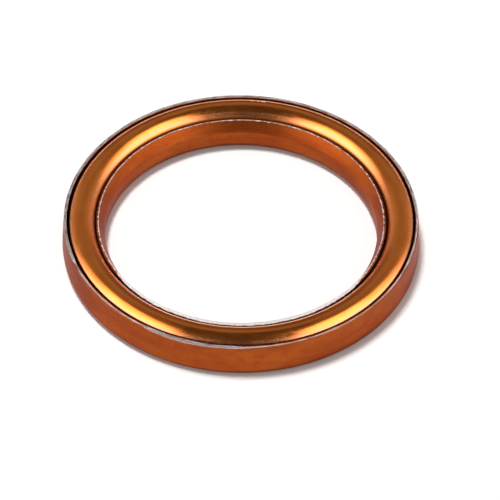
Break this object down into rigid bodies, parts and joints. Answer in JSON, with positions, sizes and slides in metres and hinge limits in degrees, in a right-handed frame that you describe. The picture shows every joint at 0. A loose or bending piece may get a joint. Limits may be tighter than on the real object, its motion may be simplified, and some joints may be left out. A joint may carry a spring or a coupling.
{
  "type": "exhaust gasket",
  "caption": "Crush gasket ring for an exhaust port: a copper-plated channel ring with a domed crown ring and a packing ring seated in its groove, round a plain bore.",
  "frame": {"origin": "centre of the bore, in the plane that the flat foot rests on", "axes": "+Z along the bore axis, from the flat foot towards the domed crown; X and Y are alike"},
  "size_m": [0.044, 0.044, 0.0052],
  "materials": {
    "satin_copper": "satin",
    "polished_copper": "polished",
    "graphite_packing": "matte"
  },
  "bodies": {
    "root": {"channel_ring": "satin_copper", "crown_ring": "polished_copper", "filler_ring": "graphite_packing"}
  },
  "joints": []
}
